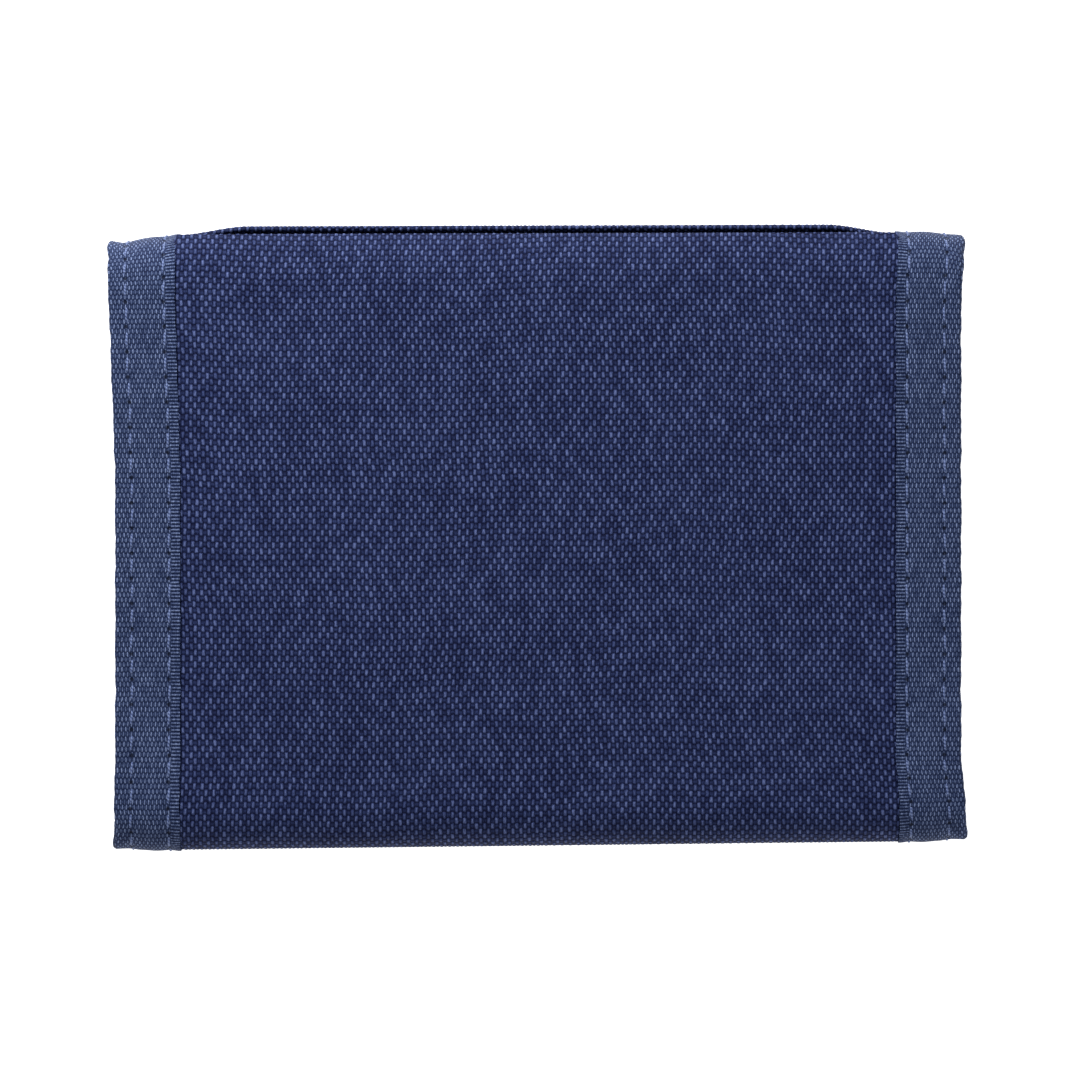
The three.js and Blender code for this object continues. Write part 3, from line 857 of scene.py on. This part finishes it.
def make_linings():
    m = lining_line.marks
    pieces = (("inner_lining_cloth", "inner", m[0], m[2], ["inner_lining"]),
              ("back_lining_lower", "bottom", m[2], m[4], ["bottom_fold_lining"]),
              ("back_lining_upper", "top", m[4], m[6], ["card_backing"]),
              ("flap_lining_cloth", "flap", m[6], m[8], ["flap_lining"]))
    for name, zone, low, high, nodes in pieces:
        woven(name, lining_line, LINING_HALF, LINING_THICKNESS, "lining", zone, nodes, lining_shape,
              span=(low, high))


POCKET_CLOTH = 0.22
POCKET_FOOT_Y = -35.5
# Pocket number: face height, height beside the tapes, height at its foot.
POCKETS = {1: (13.45, 14.05, 13.78), 2: (12.85, 13.80, 13.50), 3: (12.25, 13.55, 13.22)}
CARD_SEAM_X = 45.5


def pocket_shape(face, side_z, foot_z, mouth):
    """A card pocket: flat behind its tapes and at its foot, a little open in the middle of its mouth."""
    def shape(x, y, z):
        side = smooth((np.abs(x) - CARD_SEAM_X - 1.5) / 6.5)
        foot = smooth((-27 - y) / 8)
        lift = np.maximum(side * (side_z - face), foot * (foot_z - face))
        middle = 1 - np.clip(np.abs(x) / CARD_SEAM_X, 0, 1) ** 2
        gape = -0.16 * middle * smooth((y - mouth + 16) / 16)
        seam = 0.16 * bump_at(np.abs(x), CARD_SEAM_X, 0.8)
        dip = -0.5 * middle * smooth((y - mouth + 9) / 9)
        return x, y + dip, z + lift + gape + seam
    return shape


def make_pockets():
    for number, (face, side_z, foot_z) in POCKETS.items():
        mouth = box_mm(f"card_pocket_{number}")[1][1]
        hem_back = face + 0.55
        line = Strip(
            (POCKET_FOOT_Y, face),
            (1.2, (mouth - 0.3, face)),
            (0.12, (mouth + 0.08, face), (mouth + 0.08, hem_back), (mouth - 0.3, hem_back)),
            (1.2, (mouth - 6.0, hem_back)),
        )
        shape = pocket_shape(face, side_z, foot_z, mouth)
        woven(f"card_pocket_cloth_{number}", line, LINING_HALF - 0.6, POCKET_CLOTH, "lining", "bottom",
              [f"card_pocket_{number}"], shape, columns=160)
        below = box_mm(f"card_pocket_{number + 1}")[1][1] if number < 3 else POCKET_FOOT_Y + 2
        inward = (0, 0, -1)
        runs = [((-52.5, mouth - 1.8, face), (52.5, mouth - 1.8, face), inward)]
        for side in (-1, 1):
            x = side * CARD_SEAM_X
            runs.append(((x, below + 0.8, face), (x, mouth - 0.6, face), inward))
        if number == 3:
            runs.append(((-52.5, POCKET_FOOT_Y + 1.3, face), (52.5, POCKET_FOOT_Y + 1.3, face), inward))
        stitch_runs(f"card_pocket_seams_{number}", runs, "bottom", shape)


# ---------------------------------------------------------------- card window

def rounded_loop(centre, half, radius, steps=9):
    """Points round a rounded rectangle, with evenly spaced points on its straight sides."""
    points = []
    corners = (((1, 1), 0), ((-1, 1), 90), ((-1, -1), 180), ((1, -1), 270))
    for (sx, sy), first in corners:
        cx = centre[0] + sx * (half[0] - radius)
        cy = centre[1] + sy * (half[1] - radius)
        for angle in np.radians(np.linspace(first, first + 90, steps)):
            points.append((cx + radius * math.cos(angle), cy + radius * math.sin(angle)))
    loop = np.array(points)
    full = []
    for a, b in zip(loop, np.roll(loop, -1, axis=0)):
        count = 24 if np.linalg.norm(b - a) > 5 else 1
        full += [a + (b - a) * t for t in np.arange(count) / count]
    return np.array(full)


WINDOW_HOLE = ((0, 18.5), (36, 16.5))
WINDOW_BASE_Z, WINDOW_TOP_Z = 2.12, 2.55
FRAME_SHORTER = 1.4  # the frame's top edge stops below the curve of the lining
VINYL_Z, VINYL_THICKNESS = 2.14, 0.18


def make_window():
    low, high = box_mm("id_window_frame")
    high[1] -= FRAME_SHORTER
    middle, half = (low + high) / 2, (high - low) / 2
    inner = rounded_loop(WINDOW_HOLE[0], WINDOW_HOLE[1], 2.4)
    outer = rounded_loop(middle[:2], half[:2], 3.0)
    share = np.concatenate([np.linspace(0, 0.04, 4), np.linspace(0.08, 0.92, 14), np.linspace(0.96, 1, 4)])
    rim = smooth(np.minimum(share, 1 - share) / 0.05)
    hem = 0.12 * (bump_at(share, 0.2, 0.16) + bump_at(share, 0.8, 0.16))
    seam = 0.10 * (bump_at(share, 0.17, 0.05) + bump_at(share, 0.83, 0.05))
    flat = np.concatenate([share, share[::-1]])
    height = np.concatenate([WINDOW_TOP_Z - 0.2 * (1 - rim) + hem * rim - seam,
                             WINDOW_BASE_Z + 0.15 * (1 - rim[::-1])])
    points = inner[:, None] + (outer - inner)[:, None] * flat[None, :, None]
    n, k = points.shape[:2]
    wave = 0.05 * np.sin(0.35 * points[..., 0]) * np.sin(0.3 * points[..., 1])
    z = np.broadcast_to(height, (n, k)) + wave
    vertices = np.stack(settle(points[..., 0], points[..., 1], z), -1).reshape(-1, 3)
    index = np.arange(n * k).reshape(n, k)
    ahead, beside = np.roll(index, -1, axis=0), np.roll(index, -1, axis=1)
    quads = np.stack([index, ahead, np.roll(ahead, -1, axis=1), beside], -1).reshape(-1, 4)
    if signed_volume(vertices, quads) < 0:
        quads = quads[:, ::-1]
    border = new_object("window_border", vertices, quads, MATERIALS["lining"])
    set_cloth(border, points[..., 0].ravel(), points[..., 1].ravel(), np.ones(n * k))
    attach(border, ["id_window_frame"], "flap")

    low, high = box_mm("id_window")
    line = Strip((high[1], VINYL_Z), (COARSE, (low[1], VINYL_Z)))

    def wavy(x, y, z):
        edge = smooth((np.abs(x) - 30) / 8) + smooth((np.abs(y - 18) - 12) / 6)
        rise = 0.10 * np.sin(0.16 * x + 0.5) * np.sin(0.22 * y) + 0.10
        return x, y, z + rise * np.clip(1 - edge, 0, 1)

    woven("clear_window", line, high[0], VINYL_THICKNESS, "vinyl", "flap", ["id_window"], wavy, laid_square)
    runs = []
    for inset in (1.7, 8.3):
        x0, x1 = -half[0] + inset, half[0] - inset
        y0, y1 = middle[1] - half[1] + inset * 0.9, middle[1] + half[1] - inset * 0.83
        runs += square_runs(x0, x1, y0, y1, WINDOW_TOP_Z, 1)
    stitch_runs("window_seams", runs, "flap")


# ---------------------------------------------------------------- hook and loop fastener

def patch(name, node, z_face, z_back, material, hold, out):
    """A woven fastener strip with a selvage, and the stitches round it."""
    low, high = box_mm(node)
    half_x = high[0]
    start, end = (high[1], low[1]) if out > 0 else (low[1], high[1])
    line = Strip((start, z_face), (0.8, (end, z_face)))
    middle = (low[1] + high[1]) / 2
    reach = (high[1] - low[1]) / 2

    def shape(x, y, z):
        edge = np.minimum(half_x - np.abs(x), reach - np.abs(y - middle))
        seam = 0.14 * bump_at(edge, 1.5, 0.6)
        corner = smooth((np.abs(x) - half_x + 1.6) / 1.6) ** 2 * np.sign(y - middle)
        corner = corner * smooth((np.abs(y - middle) - reach + 1.6) / 1.6)
        face = smooth((out * (z - (z_face + z_back) / 2)) / 0.05)
        return x, y - 0.7 * corner, z - out * (seam + 0.12 * (1 - smooth(edge / 0.6))) * face

    woven(name, line, half_x, abs(z_face - z_back), material, hold, [node], shape, laid_square, 120)
    x0, x1 = -half_x + 1.5, half_x - 1.5
    y0, y1 = low[1] + 1.5, high[1] - 1.5
    stitch_runs(f"{name}_seams", square_runs(x0, x1, y0, y1, z_face - out * 0.08, out), hold)
    return (x0 + 1.1, x1 - 1.1), (y0 + 1.1, y1 - 1.1)


def filaments(name, curves, radii, sides, material, hold, nodes=(), guide=(0.31, 0.95, 0.05)):
    """Bent filaments in one mesh. curves is (count, points, 3), and no filament runs along guide."""
    count, rings, _ = curves.shape
    ahead = np.gradient(curves, axis=1)
    ahead /= np.linalg.norm(ahead, axis=2, keepdims=True)
    aside = np.cross(ahead, np.array(guide))
    aside /= np.linalg.norm(aside, axis=2, keepdims=True)
    third = np.cross(ahead, aside)
    angle = np.linspace(0, 2 * np.pi, sides + 1)[:-1]
    ring = aside[:, :, None] * np.cos(angle)[:, None] + third[:, :, None] * np.sin(angle)[:, None]
    points = (curves[:, :, None] + ring * radii[:, :, None, None]).reshape(-1, 3)
    faces = []
    for i in range(count):
        faces += tube_faces(rings, sides, i * rings * sides)
    points = np.stack(settle(*points.T), axis=-1)
    piece = new_object(name, points, faces, MATERIALS[material])
    set_cloth(piece, *points.T)
    attach(piece, nodes, hold)


def scattered(span_x, span_y, pitch, jitter, rng):
    x = np.arange(span_x[0], span_x[1], pitch)
    y = np.arange(span_y[0], span_y[1], pitch)
    gx, gy = (a.ravel() for a in np.meshgrid(x, y))
    return gx + rng.uniform(-jitter, jitter, gx.size), gy + rng.uniform(-jitter, jitter, gx.size)


def make_fastener():
    rng = np.random.default_rng(7)
    hook_base, hook_top = 2.0, box_mm("hook_strip")[1][2]
    span = patch("hook_base", "hook_strip", hook_base, 1.62, "hook", "flap", 1)
    x, y = scattered(*span, 1.25, 0.12, rng)
    t = np.linspace(0, 1, 8)[None]
    turn = rng.uniform(-0.5, 0.5, x.size)[:, None] + np.where(rng.random(x.size) < 0.5, 0, np.pi)[:, None]
    reach = 0.42 * np.clip((t - 0.35) / 0.65, 0, 1) ** 1.3
    rise = (hook_top - hook_base - 0.1) * np.sin(np.pi * 0.5 * np.clip(t / 0.62, 0, 1))
    rise = rise - 0.42 * np.clip((t - 0.62) / 0.38, 0, 1) ** 1.6
    curves = np.stack([x[:, None] + reach * np.cos(turn), y[:, None] + reach * np.sin(turn),
                       hook_base - 0.1 + rise + 0 * x[:, None]], -1)
    radii = np.broadcast_to(0.13 - 0.05 * t, curves.shape[:2])
    filaments("hooks", curves, radii, 5, "hook", "flap")

    loop_base, loop_top = 4.85, box_mm("loop_strip")[0][2]
    span = patch("loop_base", "loop_strip", loop_base, 5.3, "loop", "inner_panel", -1)
    x, y = scattered(*span, 0.95, 0.35, rng)
    t = np.linspace(0, np.pi, 9)[None]
    turn = rng.uniform(0, 2 * np.pi, x.size)[:, None]
    wide = rng.uniform(0.35, 0.75, x.size)[:, None]
    tall = rng.uniform(0.55, 1.0, x.size)[:, None] * (loop_base - loop_top - 0.08)
    lean = rng.uniform(-0.4, 0.4, (2, x.size))[..., None]
    curves = np.stack([x[:, None] + wide * np.cos(t) * np.cos(turn) + lean[0] * np.sin(t),
                       y[:, None] + wide * np.cos(t) * np.sin(turn) + lean[1] * np.sin(t),
                       loop_base + 0.12 - (tall + 0.12) * np.sin(t)], -1)
    filaments("loops", curves, np.full(curves.shape[:2], 0.065), 4, "loop", "inner_panel")


# ---------------------------------------------------------------- bound free ends

def end_tape(name, node, line, hold, seam_name):
    """Binding tape folded over a free end, tucked under the side tapes."""
    half_length = line.length / 2
    middle_z = (line.points[0, 1] + line.points[-1, 1]) / 2

    def shape(x, y, z):
        under = smooth((np.abs(x) - TAPE_INNER + 0.9) / 1.2)
        return x, y, z + 0.46 * under * np.clip(middle_z - z, -1, 1)

    def laid(x, s):
        return s, x + 400 * STITCH_PITCH, np.abs(s - half_length)

    woven(name, line, TAPE_INNER + 1.2, 0.4, "tape", hold, [node], shape, laid, 280)
    rows = []
    for row in STITCH_ROWS:
        for s in (half_length - row - 0.6, half_length + row + 0.6):
            y, z, ny, nz = (float(v) for v in line.at(s))
            rows.append(((-TAPE_INNER + 0.8, y, z), (TAPE_INNER - 0.8, y, z), (0, ny, nz)))
    stitch_runs(seam_name, rows, hold)


def make_end_tapes():
    low, high = box_mm("flap_end_binding")
    top, under = high[2] + 0.15, low[2]
    line = Strip((high[1], top), (0.9, (low[1] + 1.6, top)),
                 (0.3, (low[1] + 0.1, top), (low[1] + 0.1, under), (low[1] + 1.6, under)),
                 (0.9, (high[1], under)))
    end_tape("flap_end_tape", "flap_end_binding", line, "flap", "flap_end_seams")
    low, high = box_mm("inner_end_binding")
    top, under = high[2] - 0.2, low[2]
    line = Strip((low[1], under), (0.9, (high[1] - 2.2, under)),
                 (0.3, (high[1] - 0.1, under), (high[1] - 0.1, top), (high[1] - 2.2, top)),
                 (0.9, (low[1], top)))
    end_tape("inner_end_tape", "inner_end_binding", line, "inner_panel", "inner_end_seams")


# ---------------------------------------------------------------- coin pocket and its zipper

COIN_Z = 8.8


def coin_shape(x, y, z):
    """Fuller in the middle, flat beside the tapes and along the zipper."""
    side = smooth((50 - np.abs(x)) / 22)
    full = 0.45 * side * smooth((-15 - y) / 9) * smooth((y + 42) / 9)
    pucker = 0.05 * np.sin(0.9 * x) * bump_at(y, -15.2, 1.6)
    return x, y, z + full + pucker - 0.12 * bump_at(y, -16.3, 0.7)


def make_coin_pocket():
    low_edge, high_edge = box_mm("coin_panel_lower")[1][1], box_mm("coin_panel_upper")[0][1]
    line = Strip(
        (low_edge - 6, COIN_Z - 0.48),
        (1.2, (low_edge - 0.3, COIN_Z - 0.48)),
        (0.12, (low_edge + 0.1, COIN_Z - 0.48), (low_edge + 0.1, COIN_Z), (low_edge - 0.3, COIN_Z)),
        (1.2, (-36, COIN_Z)),
        (0.6, (-40.5, COIN_Z), (-42.2, 9.2), (-42.7, 10.2)),
    )
    woven("coin_pocket_lower", line, LINING_HALF, POCKET_CLOTH, "lining", "inner", ["coin_panel_lower"],
          coin_shape, columns=150)
    end = INNER_END_Y - TUCKED_END
    line = Strip(
        (end, COIN_Z),
        (1.2, (high_edge + 0.3, COIN_Z)),
        (0.12, (high_edge - 0.1, COIN_Z), (high_edge - 0.1, COIN_Z - 0.48), (high_edge + 0.3, COIN_Z - 0.48)),
        (1.2, (high_edge + 5, COIN_Z - 0.48)),
    )
    woven("coin_pocket_upper", line, LINING_HALF, POCKET_CLOTH, "lining", "inner_panel", ["coin_panel_upper"])
    up = (0, 0, 1)
    runs = [((-52.5, y, COIN_Z), (52.5, y, COIN_Z), up) for y in (low_edge - 1.6, high_edge + 1.3)]
    stitch_runs("coin_pocket_seams", runs, "inner_panel", coin_shape)


COIL_HALF, WIRE_RADIUS, COIL_PITCH, COIL_POINTS = 1.32, 0.235, 1.3, 14


def helix(name, node, sign, phase):
    """One side of a coil zipper: a flattened helix whose heads lock between those of the other side."""
    low, high = box_mm(node)
    outer = low[1] if sign < 0 else high[1]
    centre_y = outer - sign * COIL_HALF
    half_y = COIL_HALF - WIRE_RADIUS + 0.02
    turns = int((high[0] - low[0] - 2 * WIRE_RADIUS) / COIL_PITCH) - 1
    t = np.arange(turns * COIL_POINTS + 1) / COIL_POINTS * 2 * np.pi
    x = low[0] + WIRE_RADIUS + (t / (2 * np.pi) + phase) * COIL_PITCH
    y = centre_y - sign * half_y * np.cos(t)
    z = (low[2] + high[2]) / 2 + 0.245 * np.sin(t)
    head = 1 + 0.16 * np.clip(np.cos(t), 0, 1) ** 4
    curve = np.stack([x, y, z], -1)[None]
    radii = WIRE_RADIUS * head[None]
    filaments(name, curve, radii, 8, "coil", "inner_panel", [node], guide=(1, 0, 0))


def make_zipper():
    for name, sign in (("lower", -1), ("upper", 1)):
        low, high = box_mm(f"zipper_tape_{name}")
        line = Strip((high[1], high[2]), (0.6, (low[1], high[2])))
        inner_edge = high[1] if sign < 0 else low[1]

        def corded(x, y, z):
            return x, y, z + 0.14 * bump_at(y, inner_edge + sign * 0.35, 0.45)

        woven(f"zipper_cloth_{name}", line, LINING_HALF - 0.4, 0.3, "zipper_cloth", "inner_panel",
              [f"zipper_tape_{name}"], corded, laid_square)
        helix(f"zipper_teeth_{name}", f"zipper_coil_{name}", sign, 0.0 if sign < 0 else 0.5)
        low, high = box_mm(f"zipper_coil_{name}")
        middle = (low[1] + high[1]) / 2
        run = ((low[0] + 1, middle, high[2]), (high[0] - 1, middle, high[2]), (0, 0, 1))
        stitch_runs(f"zipper_coil_seam_{name}", [run], "inner_panel")
    for end in ("open", "closed"):
        staple(f"zipper_end_{end}", f"zipper_stop_{end}")


def plate(loops, low, high, bevel):
    """Vertices and faces of a flat metal plate with rounded edges. The first loop is the outline, the
    others are holes."""
    curve = bpy.data.curves.new("plate", "CURVE")
    curve.dimensions = "2D"
    curve.fill_mode = "BOTH"
    curve.extrude = (high - low) / 2 - bevel
    curve.bevel_depth = bevel
    curve.bevel_resolution = 3
    curve.offset = -bevel
    for loop in loops:
        spline = curve.splines.new("POLY")
        spline.points.add(len(loop) - 1)
        for point, (x, y) in zip(spline.points, loop):
            point.co = (x, y, 0, 1)
        spline.use_cyclic_u = True
    holder = bpy.data.objects.new("plate", curve)
    mesh = bpy.data.meshes.new_from_object(holder)
    vertices = np.array([v.co for v in mesh.vertices]) + (0, 0, (low + high) / 2)
    faces = [list(p.vertices) for p in mesh.polygons]
    bpy.data.objects.remove(holder)
    bpy.data.curves.remove(curve)
    bpy.data.meshes.remove(mesh)
    return vertices, faces


def joined_metal(name, parts, node, body):
    """One piece of all the plates in parts."""
    vertices, faces, base = [], [], 0
    for points, polygons in parts:
        vertices.append(points)
        faces += [[base + i for i in polygon] for polygon in polygons]
        base += len(points)
    cloud = np.vstack(vertices)
    piece = new_object(name, cloud, faces, MATERIALS["metal"])
    set_cloth(piece, *cloud.T)
    attach(piece, [node], body)


def staple(name, node):
    """A crimped metal end stop: a bar with two legs bent down over the tapes."""
    low, high = box_mm(node)
    centre = (low + high) / 2
    half = (high - low) / 2
    bar = rounded_loop(centre[:2], (half[0], half[1]), 0.6, 6)
    parts = [plate([bar], high[2] - 0.55, high[2], 0.16)]
    for side in (-1, 1):
        spot = (centre[0], centre[1] + side * (half[1] - 0.55))
        leg = rounded_loop(spot, (half[0] * 0.8, 0.5), 0.3, 6)
        parts.append(plate([leg], low[2] - 0.3, high[2] - 0.2, 0.12))
    joined_metal(name, parts, node, "inner_panel")


UPPER_SHIELD_Z, SHIELD_THICKNESS, LOWER_SHIELD_TOP, FLANGE_FOOT_Z = 9.9, 0.52, 7.7, 8.6


def make_slider():
    """Two shields with flanges, and a riveted post on which the pull turns."""
    low, high = box_mm("zipper_slider")
    pull_low, pull_high = box_mm("zipper_pull")
    centre_x, half_x = (low[0] + high[0]) / 2, (high[0] - low[0]) / 2
    half_y = (high[1] - low[1]) / 2
    shield = rounded_loop((centre_x, ZIP_Y), (half_x, half_y), 1.7)
    taper = 1 - 0.28 * smooth((shield[:, 0] - centre_x + 1.5) / (half_x + 1.5))
    shield[:, 1] = ZIP_Y + (shield[:, 1] - ZIP_Y) * taper
    inset = shield * 0.82 + np.array([centre_x, ZIP_Y]) * 0.18
    post_x = pull_high[0] - 2.2
    post, cap = ((post_x, ZIP_Y), (0.85, 0.85)), ((post_x, ZIP_Y), (1.75, 1.75))
    parts = [plate([shield], UPPER_SHIELD_Z, UPPER_SHIELD_Z + SHIELD_THICKNESS, 0.16),
             plate([inset], UPPER_SHIELD_Z + 0.4, UPPER_SHIELD_Z + 0.65, 0.1),
             plate([shield], low[2], LOWER_SHIELD_TOP, 0.16),
             plate([rounded_loop(*post, 0.84)], UPPER_SHIELD_Z + 0.5, pull_high[2] + 0.35, 0.05),
             plate([rounded_loop(*cap, 1.74)], pull_high[2] + 0.12, high[2], 0.24)]
    for side in (-1, 1):
        flange = ((centre_x - 1.2, ZIP_Y + side * 2.92), (2.3, 0.22))
        parts.append(plate([rounded_loop(*flange, 0.2)], FLANGE_FOOT_Z, UPPER_SHIELD_Z + 0.2, 0.08))
    joined_metal("zip_slider", parts, "zipper_slider", "slider")

    length = pull_high[0] - pull_low[0]
    t = np.linspace(0, 2 * np.pi, 97)[:-1]
    along = 0.5 - 0.5 * np.cos(t)
    half = (pull_high[1] - pull_low[1]) / 2
    width = half * (1 - 0.34 * smooth((along - 0.1) / 0.5) + 0.25 * smooth((along - 0.72) / 0.2))
    blunt = np.sign(np.sin(t)) * np.abs(np.sin(t)) ** 0.42
    outline = np.stack([pull_low[0] + along * length, ZIP_Y + width * blunt], -1)
    eye = rounded_loop((post_x, ZIP_Y), (1.15, 1.15), 1.14)[::-1]
    slot = rounded_loop((pull_low[0] + 4.6, ZIP_Y), (2.6, 1.15), 1.1)[::-1]
    z0, z1 = pull_low[2], pull_high[2]
    pad = rounded_loop((pull_low[0] + 12.6, ZIP_Y), (3.6, 0.85), 0.8)
    parts = [plate([outline, eye, slot], z0, z1 - 0.05, 0.1), plate([pad], z1 - 0.15, z1 + 0.02, 0.06)]
    joined_metal("zip_pull", parts, "zipper_pull", "pull")


# ---------------------------------------------------------------- floor, lights and camera

def make_stage():
    """A white floor that stays white where the wallet shades it."""
    bpy.ops.mesh.primitive_plane_add(size=6)
    floor = bpy.context.object
    floor.name = "floor"
    sh = Shader("floor_white", 0.9, 0.1, Emission_Color=(1, 1, 1, 1), Emission_Strength=0.8)
    floor.data.materials.append(sh.finish((0.86, 0.86, 0.86, 1)))


def make_light(name, place, size, power):
    light = bpy.data.lights.new(name, "AREA")
    light.shape = "SQUARE"
    light.size = size
    light.energy = power
    obj = bpy.data.objects.new(name, light)
    obj.location = place
    obj.rotation_mode = "QUATERNION"
    obj.rotation_quaternion = (Vector((0, 0, 0)) - Vector(place)).to_track_quat("-Z", "Y")
    bpy.context.scene.collection.objects.link(obj)


def make_lights():
    world = bpy.data.worlds.new("studio")
    world.use_nodes = True
    background = next(n for n in world.node_tree.nodes if n.type == "BACKGROUND")
    background.inputs["Color"].default_value = (1, 1, 1, 1)
    background.inputs["Strength"].default_value = 0.62
    bpy.context.scene.world = world
    make_light("key", place=(-0.12, 0.30, 0.20), size=0.16, power=2.05)
    make_light("fill", place=(0.6, -0.5, 0.9), size=0.8, power=2.6)
    bpy.context.scene.view_settings.view_transform = "Standard"


def make_camera():
    """Straight above the back panel, with the top fold up."""
    lens, sensor, width_in_view = 200.0, 36.0, 0.1627
    centre_x, centre_y = 0.0002, -0.0004
    camera = bpy.data.cameras.new("camera")
    camera.lens = lens
    camera.sensor_width = sensor
    obj = bpy.data.objects.new("camera", camera)
    obj.location = (centre_x, centre_y, BACK_TOP * MM + width_in_view * lens / sensor)
    bpy.context.scene.collection.objects.link(obj)
    bpy.context.scene.camera = obj


make_camera()
make_lights()
make_stage()
make_far_cloth()
make_near_cloth()
make_tapes()
make_seams()
make_linings()
make_pockets()
make_window()
make_fastener()
make_end_tapes()
make_coin_pocket()
make_zipper()
make_slider()
